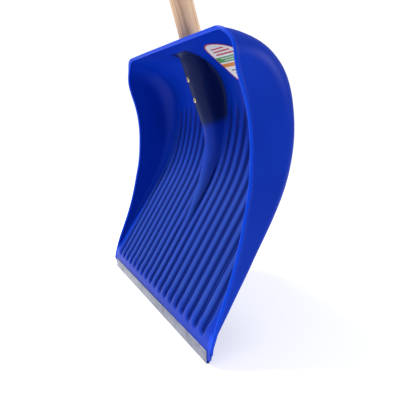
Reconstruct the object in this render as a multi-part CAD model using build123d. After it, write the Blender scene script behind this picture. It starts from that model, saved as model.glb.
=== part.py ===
from build123d import *

import os
from math import atan2, cos, hypot, radians, sin, tan

# Snow shovel: a wide ribbed plastic scoop with a metal wear strip and a straight wooden pole.
#
# Millimetres. X is across the scoop, the scoop opens towards -Y, Z is up with the
# wear strip standing on the ground. The origin is the middle of the strip's underside.

# ---------------------------------------------------------------- driving sizes
width = 450.0                # across the side rims at ground level
side_draft = 0.0326          # each side leans in by this much per mm of height
wall = 3.3                   # plastic sheet, the same all over
play = 0.1                   # gap left between pieces that fit together

# Centre section of the scoop's inner face, (y, z), from below the edge to the front rim.
# The third number is the outer radius of the corner between this face and the side.
face_line = [
    (-1.65, -16.0, 5.0),
    (-1.65, 4.0, 5.0),
    (-1.50, 19.0, 5.0),
    (1.40, 33.0, 5.0),
    (10.0, 50.0, 5.0),
    (22.2, 70.0, 5.5),
    (34.4, 90.0, 6.3),
    (46.6, 110.0, 7.0),
    (58.7, 130.0, 8.0),
    (70.8, 150.0, 9.0),
    (82.8, 170.0, 10.0),
    (94.4, 190.0, 12.0),
    (104.8, 210.0, 14.5),
    (113.2, 230.0, 17.0),
    (119.2, 250.0, 19.5),
    (123.5, 270.0, 22.0),
    (126.3, 290.0, 25.5),
    (127.2, 312.0, 30.0),
    (126.2, 330.0, 33.5),
    (123.6, 345.0, 35.5),
    (119.3, 358.6, 37.0),
    (113.0, 370.0, 37.0),
    (104.4, 380.2, 37.0),
    (94.0, 388.8, 37.0),
    (82.2, 396.0, 37.0),
    (68.0, 401.8, 37.5),
    (51.5, 405.8, 39.0),
    (36.0, 408.1, 41.0),
    (19.5, 409.6, 44.0),
    (2.0, 410.8, 46.0),
]

# Front edge of the sides and of the top, (y, z), from the ground up.
rim_line = [
    (-4.0, -10.0), (-4.0, 12.0), (-2.4, 24.0), (0.9, 38.0), (4.2, 50.0), (10.4, 68.0),
    (19.4, 92.0), (26.4, 112.0), (32.0, 130.0), (40.1, 162.0), (45.9, 190.0),
    (50.2, 212.0), (52.7, 235.0), (53.6, 258.0), (53.3, 280.0), (51.3, 300.0),
    (47.5, 320.0), (41.6, 340.0), (35.2, 357.0), (30.0, 372.0), (27.4, 385.0),
    (25.0, 397.0), (20.4, 410.0), (16.0, 424.0),
]

# Ribbing: straight lands with grooves pressed out between them.
land_pitch = width / 20
land_count = 17
land_width = 9.6
groove_depth = 4.2
groove_foot = 37.0           # height where the grooves start above the plain lip
groove_head = 350.0          # height where they have faded out
groove_fade = 70.0
outer_groove_head = 235.0    # the grooves next to the sides stop lower down
foot_run = 7.0               # length over which a groove deepens at its foot

# Wear strip: a folded channel on the lower lip.
strip_sheet = 1.0
strip_height = 17.4
strip_length = 422.0
lip_foot = strip_sheet + play
corner_round = 22.0          # radius of the scoop's two lower corners
corner_foot = 10.0           # lowest point of that rounding

# Pole.
pole_radius = 18.0
pole_length = 1300.0
pole_lean = 16.75            # degrees forward of upright
pole_ref = (58.25, 480.0)    # a point (y, z) on the pole's centre line
pole_foot = 301.0            # height of the centre of the pole's lower end
pole_foot_radius = 15.0
pole_taper = 78.0            # length of the tapered lower end
pole_crown = 7.0             # height of the rounded top end

# Socket that holds the pole, and the tail that fades it into the ribbing.
socket_radius = 18.7         # at its closed lower end
socket_flare = 0.0615        # extra radius per mm of length
socket_length = 118.0
socket_floor = 3.3
tail_line = [                # (y, z, radius) of the rounded crest's centre, upwards
    (59.2, 109.3, 10.2),
    (66.8, 125.1, 10.5),
    (77.8, 145.6, 11.0),
    (88.6, 166.4, 12.4),
    (98.2, 187.6, 13.8),
    (105.8, 208.6, 15.5),
    (112.0, 229.0, 17.0),
    (117.0, 249.0, 18.0),
    (118.1, 269.0, 18.8),
    (116.3, 285.0, 18.8),
]
web_depth = 60.0             # how far the crest's flanks run back into the scoop

# Screws through the socket into the pole.
screw_heights = (41.0, 75.0)    # along the pole from its lower end
screw_head_radius = 4.3
screw_shank_radius = 2.0
screw_length = 25.0
recess_width = 1.1
recess_depth = 1.4

# Round paper label on the upper inner face.
label_centre = (115.0, 100.2, 380.0)
label_radius = 55.0
label_sheet = 0.3
label_tilt = 47.0            # degrees from upright of the face it lies on

FAN = (-60.0, 200.0)         # line the cross-sections fan out from, (y, z)
FAN_GAP = 6.0


# ---------------------------------------------------------------- lines and sheets
def outward(points):
    """Unit normals of a (y, z) line, pointing to the back of the scoop."""
    result = []
    for i in range(len(points)):
        before = points[max(i - 1, 0)]
        after = points[min(i + 1, len(points) - 1)]
        dy = after[0] - before[0]
        dz = after[1] - before[1]
        size = hypot(dy, dz)
        result.append((dz / size, -dy / size))
    return result


def moved(points, amounts):
    """The (y, z) line with each point moved along its normal by its own amount."""
    pairs = zip(points, outward(points), amounts)
    return [(p[0] + n[0] * a, p[1] + n[1] * a) for p, n, a in pairs]


def half_width(z):
    """Half the outer width of the scoop at a height."""
    return width / 2 - side_draft * z


def yz_curve(points):
    """A smooth curve through (y, z) points in the middle plane."""
    return Spline(*[(0, y, z) for y, z in points])


def yz_plate(front, back, half):
    """The region between two (y, z) lines, made 2 x half wide in X about the middle."""
    ends = [Line((0, *front[0]), (0, *back[0])), Line((0, *front[-1]), (0, *back[-1]))]
    region = make_face([yz_curve(front), yz_curve(back), *ends])
    return extrude(region, half, dir=(1, 0, 0), both=True)


def section(y, z, inset, radius):
    """One cross-section of a tub, in the plane that fans out to the point (y, z)."""
    depth = hypot(y - FAN[0], z - FAN[1])
    along = ((y - FAN[0]) / depth, (z - FAN[1]) / depth)
    near = half_width(FAN[1] + along[1] * FAN_GAP) - inset
    far = half_width(z) - inset
    plane = Plane(origin=(0, *FAN), x_dir=(1, 0, 0), z_dir=(0, -along[1], along[0]))
    corners = [(-near, FAN_GAP), (-far, depth), (far, depth), (near, FAN_GAP)]
    outline = make_face(Polyline(*corners, close=True))
    backs = outline.vertices().sort_by(Axis.Y)[-2:]
    return plane * fillet(backs, radius)


def tub(inset):
    """The scoop as a full block, its surface inset from the outer face of the wall."""
    lines = [(y, z) for y, z, _ in face_line]
    reach = moved(lines, [wall - inset] * len(lines))
    faces = []
    for (y, z), (_, _, corner) in zip(reach, face_line):
        faces.append(section(y, z, inset, max(corner - inset, 1.2)))
    return loft(faces)


def front_cut():
    """Everything in front of the rim."""
    far = [(-300.0, rim_line[0][1]), (-300.0, rim_line[-1][1])]
    edges = [yz_curve(rim_line), Line((0, *rim_line[0]), (0, *far[0]))]
    edges += [Line((0, *far[0]), (0, *far[1])), Line((0, *far[1]), (0, *rim_line[-1]))]
    return extrude(make_face(edges), width, dir=(1, 0, 0), both=True)


# ---------------------------------------------------------------- scoop features
def groove_amounts(points, head):
    """Depth of a groove at each point: quick at the foot, slow fade at the head."""
    result = []
    for _, z in points:
        rise = min(max((z - groove_foot) / foot_run, 0.0), 1.0)
        fade = min(max((head - z) / groove_fade, 0.0), 1.0)
        result.append(groove_depth * rise * fade * fade * (3 - 2 * fade))
    return result


def groove_line(head):
    """The part of the face line that a groove covers, with a point at each end of its foot."""
    inside = [(y, z) for y, z, _ in face_line if groove_foot + foot_run + 3 < z < head - 5]
    foot = [(3.3, groove_foot), (6.9, groove_foot + foot_run)]
    last = [(y, z) for y, z, _ in face_line if z >= head - 5][0]
    return foot + inside + [last]


def leaning_plane(y, z, lean):
    """A plane square to a line through (y, z) that leans forward of upright by an angle."""
    return Plane(origin=(0, y, z), x_dir=(1, 0, 0), z_dir=(0, -sin(lean), cos(lean)))


def leans(points):
    """Angle of a (y, z) line forward of upright at each of its points."""
    result = []
    for ny, nz in outward(points):
        result.append(atan2(nz, ny))
    return result


def channel(line, depths, half, start):
    """A rounded channel along a line: 2 x half wide, from a level down to its own depth."""
    faces = []
    for (y, z), depth, lean in zip(line, depths, leans(line)):
        arc = ThreePointArc((-half, start), (0, max(depth, start + 0.25)), (half, start))
        faces.append(leaning_plane(y, z, lean) * make_face([arc, Line((half, start), (-half, start))]))
    return loft(faces)


def groove_tools(head):
    """The cutter for one groove and the swelling behind it that keeps the wall whole."""
    line = groove_line(head)
    depths = groove_amounts(line, head)
    half = (land_pitch - land_width) / 2
    cutter = channel(line, depths, half + 0.4, -0.6)
    swell = channel(line, [wall + d for d in depths], half + 0.75 * wall, wall * 0.6)
    return cutter, swell


def groove_places():
    """Middle of each groove across the scoop, with the height where it ends."""
    reach = (land_count - 1) / 2
    places = [(-reach + 0.5 + i) * land_pitch for i in range(land_count - 1)]
    sides = [side * (reach + 0.5) * land_pitch for side in (-1, 1)]
    return [(x, groove_head) for x in places] + [(x, outer_groove_head) for x in sides]


def crest_section(y, z, radius, lean):
    """A rounded crest with straight flanks, square to a line leaning forward by an angle."""
    arc = RadiusArc((-radius, 0), (radius, 0), -radius)
    sides = Polyline((radius, 0), (radius, web_depth), (-radius, web_depth), (-radius, 0))
    return leaning_plane(y, z, lean) * make_face([arc, sides])


def pole_point(distance):
    """The (y, z) point at a distance up the pole's centre line from its lower end."""
    z = pole_foot + distance * cos(radians(pole_lean))
    y = pole_ref[0] + (pole_ref[1] - z) * tan(radians(pole_lean))
    return y, z


def pole_plane(distance=0.0):
    """A plane square to the pole, its Z up the pole."""
    return leaning_plane(*pole_point(distance), radians(pole_lean))


def socket_radius_at(distance):
    """Outer radius of the socket at a distance up the pole from its lower end."""
    return socket_radius + socket_flare * (distance + socket_floor)


def socket_block():
    """The socket's outside: a flaring crest with flanks that run back into the scoop."""
    lean = radians(pole_lean)
    low = crest_section(*pole_point(-socket_floor), socket_radius, lean)
    high = crest_section(*pole_point(socket_length), socket_radius_at(socket_length), lean)
    return loft([low, high], ruled=True)


def socket_collar():
    """The round mouth of the socket, standing out of the scoop's curled top."""
    start = 60.0
    low = socket_radius_at(start)
    high = socket_radius_at(socket_length)
    length = socket_length - start
    tube = Cone(low, high, length, align=(Align.CENTER, Align.CENTER, Align.MIN))
    return pole_plane(start) * tube


def tail_block(inset):
    """The tail below the socket, its crest inset by a wall for the hollow behind it."""
    end = (*pole_point(-socket_floor - inset), socket_radius)
    stations = [*tail_line, end]
    angles = leans([(y, z) for y, z, _ in stations])
    angles[-1] = radians(pole_lean)
    faces = []
    for (y, z, radius), lean in zip(stations, angles):
        faces.append(crest_section(y, z, radius - inset, lean))
    return loft(faces)


def pole_outline(gap):
    """Half outline of the pole from its lower end, grown by a gap."""
    low = pole_foot_radius + gap
    full = pole_radius + gap
    return [(0, -gap), (low, -gap), (full, pole_taper), (full, pole_length - pole_crown)]


def screw_plane(distance):
    """A plane on the socket's crest, its Z pointing into the pole."""
    lean = radians(pole_lean)
    y, z = pole_point(distance)
    reach = socket_radius_at(distance) - 0.2
    origin = (0, y - reach * cos(lean), z - reach * sin(lean))
    return Plane(origin=origin, x_dir=(1, 0, 0), z_dir=(0, cos(lean), sin(lean)))


def screw_body(gap):
    """A countersunk screw along Z with its head at the origin, grown by a gap."""
    head = screw_head_radius + gap
    shank = screw_shank_radius + gap
    cone = head - shank
    outline = Polyline(
        (0, 0), (head, 0), (head, 0.5), (shank, 0.5 + cone), (shank, screw_length - 4 + gap),
        (0.3 + gap, screw_length + gap), (0, screw_length + gap), close=True,
    )
    return revolve(Plane.XZ * make_face(outline), Axis.Z)


def screw_hole():
    """The clearance hole for a screw, open above its head."""
    mouth = Cylinder(screw_head_radius + play, 6, align=(Align.CENTER, Align.CENTER, Align.MAX))
    return screw_body(play) + Pos(0, 0, 0.3) * mouth


def lower_corner(side):
    """What is rounded off a lower corner of the scoop beside the strip's end."""
    height = corner_foot + corner_round
    middle = width / 2 - corner_round
    block = Pos(middle + corner_round, 0, height - 50) * Box(2 * corner_round, 200, 100)
    rounding = Pos(middle, 0, height) * Rot(90, 0, 0) * Cylinder(corner_round, 300)
    strip_side = Box(strip_length + 6 * play, 400, 400)
    cut = block - rounding - strip_side
    return cut if side > 0 else mirror(cut, Plane.YZ)


def pole_bore():
    """The tapered hole in the socket."""
    outline = Polyline(
        *pole_outline(play), (0, pole_length - pole_crown), close=True
    )
    return pole_plane() * revolve(Plane.XZ * make_face(outline), Axis.Z)


# ---------------------------------------------------------------- pieces
def make_blade():
    """The moulded plastic scoop with its ribbing, rim, socket and tail."""
    bulge = socket_block() + tail_block(0)
    tools = {head: groove_tools(head) for head in (groove_head, outer_groove_head)}
    swells = []
    cutters = []
    for x, head in groove_places():
        cutter = Pos(x, 0, 0) * tools[head][0]
        swells.append(Pos(x, 0, 0) * tools[head][1])
        cutters.append(cutter - bulge if abs(x) < land_pitch else cutter)
    shell = tub(0) - tub(wall) - front_cut() + swells - cutters
    shell = shell + (bulge & tub(wall / 2)) + socket_collar() - tail_block(wall)
    shell = shell - pole_bore()
    for distance in screw_heights:
        shell = shell - screw_plane(distance) * screw_hole()
    below = Pos(0, 0, lip_foot - 50) * Box(3 * width, 200, 100)
    return shell - below - lower_corner(1) - lower_corner(-1)


def make_strip():
    """The folded metal channel that takes the wear."""
    gap = wall + 2 * play
    thick = gap + 2 * strip_sheet
    channel = Pos(0, 0, strip_height / 2) * Box(strip_length, thick, strip_height)
    channel = fillet(channel.edges().filter_by(Axis.X), 0.4)
    slot_height = strip_height - strip_sheet
    slot = Pos(0, 0, strip_sheet + slot_height / 2) * Box(strip_length + 1, gap, slot_height)
    return channel - slot


def make_pole():
    """The wooden pole: tapered foot, straight grip, rounded top."""
    foot = pole_outline(0)
    crown = Spline(
        foot[-1], (pole_radius * 0.72, pole_length - 1.8), (0, pole_length),
        tangents=[(0, 1), (-1, 0)],
    )
    outline = make_face([Polyline(*foot), crown, Line((0, pole_length), (0, 0))])
    pole = pole_plane() * revolve(Plane.XZ * outline, Axis.Z)
    for distance in screw_heights:
        pole = pole - screw_plane(distance) * screw_hole()
    return pole


def make_screw(distance):
    """One countersunk cross-recess screw."""
    slot = Box(3.6, recess_width, 2 * recess_depth)
    recess = slot + Rot(0, 0, 90) * slot
    return screw_plane(distance) * (screw_body(0) - recess)


def make_label():
    """The round label, bent to the upper inner face."""
    line = [(y, z) for y, z, _ in face_line if z > 310]
    back = moved(line, [-0.02] * len(line))
    front = moved(line, [-0.02 - label_sheet] * len(line))
    sheet = Pos(label_centre[0], 0, 0) * yz_plate(front, back, label_radius + 1)
    tilt = radians(label_tilt)
    through = Plane(origin=label_centre, x_dir=(1, 0, 0), z_dir=(0, cos(tilt), sin(tilt)))
    punch = through * Cylinder(label_radius, 120)
    return sheet & punch


def save(shape, name):
    """Write one named piece."""
    export_step(shape, f"parts/{name}.step")


def main():
    """Build and write every piece."""
    os.makedirs("parts", exist_ok=True)
    save(make_blade(), "blade")
    save(make_strip(), "wear_strip")
    save(make_pole(), "pole")
    save(make_screw(screw_heights[1]), "screw_upper")
    save(make_screw(screw_heights[0]), "screw_lower")
    save(make_label(), "label")


main()
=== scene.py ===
"""Snow shovel: the looks of the moulded scoop, wear strip, pole, screws and round label.

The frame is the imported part: X across, the scoop opens towards -Y, Z up, origin at the
middle of the wear strip's underside. Sizes below are millimetres and meshes are metres.
"""

import logging
import math
from dataclasses import dataclass, field
from enum import Enum

import bmesh
import bpy
import numpy as np
from mathutils import Matrix, Vector


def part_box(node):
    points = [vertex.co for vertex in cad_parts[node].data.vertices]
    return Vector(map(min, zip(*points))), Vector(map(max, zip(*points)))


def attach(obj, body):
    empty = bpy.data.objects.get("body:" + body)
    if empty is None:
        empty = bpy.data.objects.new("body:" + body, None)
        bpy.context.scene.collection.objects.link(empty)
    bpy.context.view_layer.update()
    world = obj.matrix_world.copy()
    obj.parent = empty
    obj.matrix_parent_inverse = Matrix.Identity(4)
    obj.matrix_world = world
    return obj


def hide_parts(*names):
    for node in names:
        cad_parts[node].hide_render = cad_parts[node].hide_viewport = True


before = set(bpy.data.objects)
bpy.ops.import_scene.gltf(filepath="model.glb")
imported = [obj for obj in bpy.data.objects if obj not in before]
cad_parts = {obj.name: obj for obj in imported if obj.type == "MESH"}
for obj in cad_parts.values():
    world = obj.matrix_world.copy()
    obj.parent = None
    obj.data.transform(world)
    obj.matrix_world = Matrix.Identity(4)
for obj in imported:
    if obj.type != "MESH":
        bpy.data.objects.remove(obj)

log = logging.getLogger("snow_shovel")
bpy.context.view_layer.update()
MM = 0.001
MERGE = 2e-6
ROUND = 96


# ---------------------------------------------------------------- numbers and curves
def smoothstep(x: np.ndarray) -> np.ndarray:
    """0 below 0, 1 above 1, and 3x^2 - 2x^3 between."""
    t = np.clip(x, 0.0, 1.0)
    return t * t * (3.0 - 2.0 * t)


class Curve:
    """A natural cubic spline through points, read by its chord length."""

    def __init__(self, points: list[tuple[float, ...]]) -> None:
        """Solve the second derivatives at the points.

        Args:
            points: the points that the curve goes through; the first two numbers of each
                are its place, and any further numbers are carried along.
        """
        self.points = np.array(points, float)
        steps = np.linalg.norm(np.diff(self.points[:, :2], axis=0), axis=1)
        self.at = np.concatenate(([0.0], np.cumsum(steps)))
        count = len(points)
        system = np.eye(count)
        right = np.zeros_like(self.points)
        inner = np.arange(1, count - 1)
        before, after = steps[:-1, None], steps[1:, None]
        system[inner, inner - 1] = before[:, 0]
        system[inner, inner] = 2.0 * (before + after)[:, 0]
        system[inner, inner + 1] = after[:, 0]
        slopes = np.diff(self.points, axis=0) / steps[:, None]
        right[inner] = 6.0 * (slopes[1:] - slopes[:-1])
        self.bend = np.linalg.solve(system, right)

    @property
    def length(self) -> float:
        """Chord length of the whole curve."""
        return float(self.at[-1])

    def _span(self, s: np.ndarray) -> tuple[np.ndarray, np.ndarray, np.ndarray]:
        """The span each place falls in, its length, and how far along it the place is."""
        i = np.clip(np.searchsorted(self.at, s, side="right") - 1, 0, len(self.at) - 2)
        h = self.at[i + 1] - self.at[i]
        return i, h, (s - self.at[i]) / h

    def point(self, s: np.ndarray) -> np.ndarray:
        """Points at chord lengths s: the cubic blend of each span's ends and bends."""
        i, h, b = self._span(np.asarray(s, float))
        h, b = h[..., None], b[..., None]
        a = 1.0 - b
        bends = (a**3 - a) * self.bend[i] + (b**3 - b) * self.bend[i + 1]
        return a * self.points[i] + b * self.points[i + 1] + bends * h * h / 6.0

    def slope(self, s: np.ndarray) -> np.ndarray:
        """Derivative of point() with respect to s."""
        i, h, b = self._span(np.asarray(s, float))
        h, b = h[..., None], b[..., None]
        a = 1.0 - b
        bends = (1.0 - 3.0 * a * a) * self.bend[i] + (3.0 * b * b - 1.0) * self.bend[i + 1]
        return (self.points[i + 1] - self.points[i]) / h + bends * h / 6.0

    def outward(self, s: np.ndarray) -> np.ndarray:
        """Unit normal in the Y-Z plane on the curve's right-hand side, the scoop's back."""
        run = self.slope(s)[..., :2]
        normal = np.stack([run[..., 1], -run[..., 0]], axis=-1)
        return normal / np.linalg.norm(normal, axis=-1, keepdims=True)


# ---------------------------------------------------------------- meshes
def grid_faces(index: np.ndarray) -> np.ndarray:
    """Quads of a grid of vertex numbers, each as (here, next column, both, next row)."""
    quads = [index[:-1, :-1], index[:-1, 1:], index[1:, 1:], index[1:, :-1]]
    return np.stack(quads, axis=-1).reshape(-1, 4)


def make_piece(name: str, points: np.ndarray, faces: np.ndarray,
               uv: np.ndarray | None = None) -> bpy.types.Object:
    """A smooth-shaded closed mesh from whole arrays.

    Args:
        name: the piece's name.
        points: vertex places in millimetres, N x 3.
        faces: vertex numbers of quads, M x 4.
        uv: two numbers for each vertex, N x 2, that its material reads.

    Returns:
        The new object, at the origin, with coincident vertices merged and faces outward.
    """
    mesh = bpy.data.meshes.new(name)
    mesh.from_pydata((points * MM).tolist(), [], faces.tolist())
    if uv is not None:
        layer = mesh.uv_layers.new(name="UVMap")
        corners = np.zeros(len(mesh.loops), np.int32)
        mesh.loops.foreach_get("vertex_index", corners)
        layer.data.foreach_set("uv", uv[corners].astype(np.float32).ravel())
    edit = bmesh.new()
    edit.from_mesh(mesh)
    bmesh.ops.remove_doubles(edit, verts=edit.verts, dist=MERGE)
    bmesh.ops.dissolve_degenerate(edit, edges=edit.edges, dist=MERGE / 2)
    bmesh.ops.recalc_face_normals(edit, faces=edit.faces)
    edit.to_mesh(mesh)
    edit.free()
    mesh.polygons.foreach_set("use_smooth", np.ones(len(mesh.polygons), bool))
    piece = bpy.data.objects.new(name, mesh)
    bpy.context.scene.collection.objects.link(piece)
    return piece


def turned(profile: np.ndarray, segments: int) -> tuple[np.ndarray, np.ndarray]:
    """A closed or pole-to-pole profile carried round the Z axis.

    Each profile point (radius, height) becomes (radius cos a, radius sin a, height).

    Args:
        profile: (radius, height) pairs, K x 2.
        segments: how many steps there are round the axis.

    Returns:
        The vertices and the quads.
    """
    angle = np.linspace(0.0, 2.0 * np.pi, segments, endpoint=False)[:, None]
    radius, height = profile[:, 0][None, :], profile[:, 1][None, :]
    points = np.stack(
        [radius * np.cos(angle), radius * np.sin(angle), height + 0.0 * angle], axis=-1
    )
    index = np.arange(segments * len(profile)).reshape(segments, len(profile))
    index = np.vstack([index, index[:1]])
    return points.reshape(-1, 3), grid_faces(index)


# ---------------------------------------------------------------- shader maths
class Socket:
    """A shader output that can be used in Python expressions."""

    def __init__(self, shader: "Shader", out: bpy.types.NodeSocket) -> None:
        """Keep the socket and the shader that it belongs to."""
        self.shader = shader
        self.out = out

    def _math(self, operation: str, *values: "Socket | float") -> "Socket":
        """One Math node on these values."""
        return self.shader.node("ShaderNodeMath", {"operation": operation}, dict(enumerate(values)))

    def __add__(self, other: "Socket | float") -> "Socket":
        """self + other."""
        return self._math("ADD", self, other)

    def __sub__(self, other: "Socket | float") -> "Socket":
        """self - other."""
        return self._math("SUBTRACT", self, other)

    def __rsub__(self, other: "Socket | float") -> "Socket":
        """other - self."""
        return self._math("SUBTRACT", other, self)

    def __mul__(self, other: "Socket | float") -> "Socket":
        """self * other."""
        return self._math("MULTIPLY", self, other)

    def __pow__(self, other: "Socket | float") -> "Socket":
        """self to the power of other."""
        return self._math("POWER", self, other)

    def absolute(self) -> "Socket":
        """Size without sign."""
        return self._math("ABSOLUTE", self)

    def below(self, other: "Socket | float") -> "Socket":
        """1 where self is less than other."""
        return self._math("LESS_THAN", self, other)

    def above(self, other: "Socket | float") -> "Socket":
        """1 where self is greater than other."""
        return self._math("GREATER_THAN", self, other)

    def ramp(self, low: float, high: float) -> "Socket":
        """0 at low rising smoothly to 1 at high."""
        settings = {"interpolation_type": "SMOOTHSTEP"}
        values = {0: self, 1: low, 2: high, 3: 0.0, 4: 1.0}
        return self.shader.node("ShaderNodeMapRange", settings, values)


class Shader:
    """One material's node tree, with its Principled shader."""

    def __init__(self, name: str, constants: dict[str, float | tuple]) -> None:
        """Make the material.

        Args:
            name: the material's name.
            constants: sockets of the Principled shader that are the same all over.
        """
        self.material = bpy.data.materials.new(name)
        self.material.use_nodes = True
        self.tree = self.material.node_tree
        self.principled = self.tree.nodes["Principled BSDF"]
        for socket, value in constants.items():
            self.principled.inputs[socket].default_value = value

    def node(self, kind: str, settings: dict | None = None, values: dict | None = None,
             output: int | str = 0) -> Socket:
        """Any node, its settings first and then its sockets.

        Args:
            kind: Blender's name for the node type.
            settings: attributes of the node, such as a Math node's operation.
            values: socket number or name to a value, or to a Socket to link.
            output: which output is handed back.

        Returns:
            The chosen output.
        """
        made = self.tree.nodes.new(kind)
        for key, value in (settings or {}).items():
            setattr(made, key, value)
        for key, value in (values or {}).items():
            if isinstance(value, Socket):
                self.tree.links.new(value.out, made.inputs[key])
            else:
                made.inputs[key].default_value = value
        return Socket(self, made.outputs[output])

    def coordinates(self, kind: str = "Object", turn: tuple = (0.0, 0.0, 0.0),
                    stretch: tuple = (1.0, 1.0, 1.0)) -> Socket:
        """Object or UV coordinates, turned and then stretched by a Mapping node."""
        place = self.node("ShaderNodeTexCoord", output=kind)
        return self.node("ShaderNodeMapping", None,
                         {"Vector": place, "Rotation": turn, "Scale": stretch})

    def axes(self, place: Socket) -> tuple[Socket, Socket, Socket]:
        """The three parts of a vector."""
        made = self.tree.nodes.new("ShaderNodeSeparateXYZ")
        self.tree.links.new(place.out, made.inputs[0])
        return tuple(Socket(self, made.outputs[i]) for i in range(3))

    def noise(self, place: Socket, scale: float, detail: float = 3.0, rough: float = 0.5) -> Socket:
        """Fractal noise from 0 to 1."""
        values = {"Vector": place, "Scale": scale, "Detail": detail, "Roughness": rough}
        return self.node("ShaderNodeTexNoise", None, values, "Fac")

    def blend(self, share: Socket | float, low: Socket | tuple, high: Socket | tuple) -> Socket:
        """The colour low where share is 0 and high where it is 1."""
        made = self.tree.nodes.new("ShaderNodeMix")
        made.data_type = "RGBA"
        for key, value in ((0, share), (6, low), (7, high)):
            if isinstance(value, Socket):
                self.tree.links.new(value.out, made.inputs[key])
            else:
                made.inputs[key].default_value = value
        return Socket(self, made.outputs[2])

    def bump(self, height: Socket, distance: float, strength: float = 1.0) -> None:
        """Feed the surface normal from a height in metres times distance."""
        values = {"Height": height, "Distance": distance, "Strength": strength}
        self.feed("Normal", self.node("ShaderNodeBump", None, values))

    def feed(self, socket: str, value: Socket) -> None:
        """Link a varying value to a Principled socket."""
        self.tree.links.new(value.out, self.principled.inputs[socket])


def colour(red: int, green: int, blue: int) -> tuple[float, float, float, float]:
    """A linear colour from everyday 0 to 255 values."""
    def one(value: int) -> float:
        """One channel, by the sRGB curve."""
        share = value / 255.0
        return share / 12.92 if share <= 0.04045 else ((share + 0.055) / 1.055) ** 2.4
    return one(red), one(green), one(blue), 1.0


@dataclass(frozen=True)
class MouldedBlue:
    """Royal-blue polypropylene with flow marks, fine grain, a painted sheen on the ribbed lands, painted
    shade in the grooves and a painted highlight along the rim.

    The sheet lets a little light through, so it is painted near black where wood lies behind it: painted
    shade of the pole.
    The piece's UV holds each vertex's distance from the rim and its groove's depth, in metres.
    """

    pole: "PoleLine"
    deep: tuple = colour(0, 42, 158)
    bright: tuple = colour(2, 54, 188)
    scuffed: tuple = colour(58, 92, 196)
    # painted shade: the sheet where the pole blocks the light through it
    pole_shade: tuple = colour(14, 30, 80)
    # painted highlight: the lit face of the rim bead
    rim: tuple = colour(8, 70, 218)
    # painted sheen: the lighter tone of the lit ribbed lands
    shaded: tuple = colour(0, 26, 112)
    land_sheen: tuple = colour(52, 84, 168)
    specular: float = 0.10

    def pole_shade_mask(self, s: Shader, place: Socket) -> Socket:
        """1 on the socket's front, where the pole is inside it: where the pole's shade is painted.

        In the pole's own axes a point counts when it is above the pole's foot, not much
        further in front of the line than the socket's radius, and nearly as close beside it.
        """
        foot = self.pole.point(0.0) * MM
        moved = s.node("ShaderNodeVectorMath", {"operation": "SUBTRACT"}, {0: place, 1: (0.0, *foot)})
        turn = {"rotation_type": "X_AXIS"}
        own = s.node("ShaderNodeVectorRotate", turn, {"Vector": moved, "Angle": -self.pole.lean})
        x, y, z = s.axes(own)
        above = z.ramp(-0.010, 0.006)
        beside = 1.0 - (x.absolute() - z * 0.06).ramp(0.0205, 0.0275)
        ahead = (y + z * 0.06).ramp(-0.0225, -0.0205)
        return above * beside * ahead

    def material(self) -> bpy.types.Material:
        """The finished material."""
        s = Shader("moulded_blue", {"IOR": 1.46, "Specular IOR Level": self.specular})
        place = s.coordinates()
        x, y, z = s.axes(place)
        cloud = s.noise(place, 7.0, 2.0)
        streaks = s.noise(s.coordinates(stretch=(70.0, 4.0, 4.0)), 1.0, 4.0)
        grain = s.noise(place, 900.0, 2.0, 0.6)
        base = s.blend((cloud * 0.7 + streaks * 0.3).ramp(0.25, 0.75), self.deep, self.bright)
        scratch = s.noise(s.coordinates(turn=(0.0, 0.12, 0.0), stretch=(420.0, 9.0, 9.0)), 1.0, 5.0)
        low = 1.0 - z.ramp(0.02, 0.20)
        worn = scratch.ramp(0.60, 0.72) * low * 0.35
        # painted shade: the socket's front darkened where the pole blocks the light through the sheet
        base = s.blend(self.pole_shade_mask(s, place), base, self.pole_shade)
        from_rim, pressed, _ = s.axes(s.coordinates("UV"))
        # painted sheen: the ribbed back made lighter, as lands that catch the light
        ribbed = z.ramp(0.02, 0.06) * (1.0 - z.ramp(0.17, 0.33)) * (1.0 - x.absolute().ramp(0.19, 0.21))
        base = s.blend(ribbed * 0.55, base, self.land_sheen)
        base = s.blend(pressed.ramp(0.0004, 0.0024) * 0.85, base, self.shaded)
        # painted highlight: a lighter band along the rim bead, where its face catches the light
        base = s.blend((1.0 - from_rim.ramp(0.0022, 0.0034)) * z.ramp(0.01, 0.03), base, self.rim)
        s.feed("Base Color", s.blend(worn, base, self.scuffed))
        s.feed("Roughness", cloud * 0.05 + grain * 0.06 + worn * 0.3 + 0.33)
        s.bump(grain * 0.5 + streaks * 0.25 - worn * 0.4, 0.00006, 0.8)
        return s.material


@dataclass(frozen=True)
class MillAluminium:
    """Aluminium sheet as it leaves the mill, with fine lines along it and dull spots."""

    bright: tuple = colour(148, 150, 160)
    dull: tuple = colour(104, 107, 119)

    def material(self) -> bpy.types.Material:
        """The finished material."""
        s = Shader("mill_aluminium", {"IOR": 2.2, "Anisotropic": 0.3})
        place = s.coordinates()
        lines = s.noise(s.coordinates(stretch=(6.0, 900.0, 900.0)), 1.0, 4.0, 0.6)
        spots = s.noise(place, 55.0, 4.0, 0.6)
        chips = s.noise(place, 260.0, 3.0, 0.7).ramp(0.62, 0.75)
        s.feed("Base Color", s.blend(lines * 0.5 + spots.ramp(0.4, 0.7) * 0.5, self.bright, self.dull))
        s.feed("Metallic", 0.85 - chips * 0.3)
        s.feed("Roughness", lines * 0.18 + spots * 0.1 + chips * 0.2 + 0.26)
        s.bump(lines * 0.6 - chips * 0.8, 0.00005, 0.7)
        return s.material


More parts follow.
